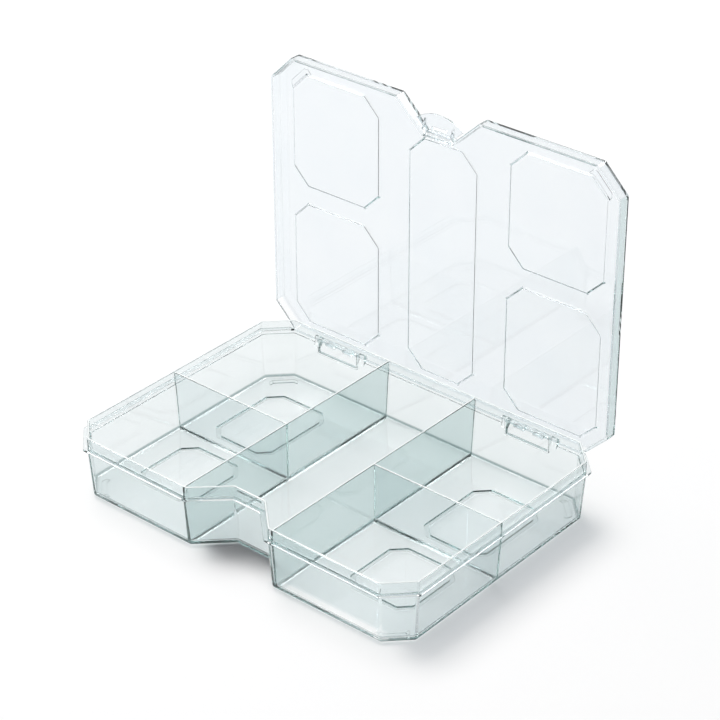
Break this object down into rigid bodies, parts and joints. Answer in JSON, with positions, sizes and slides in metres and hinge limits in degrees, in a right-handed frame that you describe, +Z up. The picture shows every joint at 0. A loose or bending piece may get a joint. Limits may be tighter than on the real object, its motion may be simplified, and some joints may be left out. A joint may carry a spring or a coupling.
{
  "type": "compartment storage box",
  "caption": "Shallow clear box with cut corners, fixed dividers, raised lid on two rear hinges and a finger latch in the front notch",
  "frame": {"origin": "on the resting plane, under the middle of the open box's bounding box; the tray's own middle is 2.4 mm in front of it", "axes": "+X to the right along the hinge line, -Y to the front where the latch notch is, +Z up"},
  "size_m": [0.2042, 0.154, 0.1744],
  "materials": {
    "tray_plastic": "polished",
    "lid_plastic": "polished"
  },
  "bodies": {
    "tray": {"tray_shell": "tray_plastic", "tray_floor": "tray_plastic", "foot_front_left": "tray_plastic", "foot_front_right": "tray_plastic", "foot_rear_left": "tray_plastic", "foot_rear_right": "tray_plastic", "long_divider_left": "tray_plastic", "long_divider_right": "tray_plastic", "cross_divider_left": "tray_plastic", "cross_divider_right": "tray_plastic", "hinge_pin_left": "tray_plastic", "hinge_pin_right": "tray_plastic", "hinge_lugs_left": "tray_plastic", "hinge_lugs_right": "tray_plastic", "latch_catch": "tray_plastic"},
    "lid": {"lid_shell": "lid_plastic", "hook_left_outer": "lid_plastic", "hook_left_inner": "lid_plastic", "hook_right_inner": "lid_plastic", "hook_right_outer": "lid_plastic"},
    "latch": {"latch_tongue": "lid_plastic", "latch_shelf": "lid_plastic", "latch_rib_left": "lid_plastic", "latch_rib_right": "lid_plastic", "latch_bar": "lid_plastic"}
  },
  "joints": [
    {"name": "lid_hinge", "type": "hinge", "parent": "tray", "child": "lid", "pos_m": [0, 0.0703, 0.0276], "axis": [1, 0, 0], "range_deg": [0, 90]},
    {"name": "latch_flex", "type": "hinge", "parent": "lid", "child": "latch", "pos_m": [0, 0.076, 0.1591], "axis": [-1, 0, 0], "range_deg": [0, 10], "stiffness_Nm_per_rad": 0.05}
  ]
}
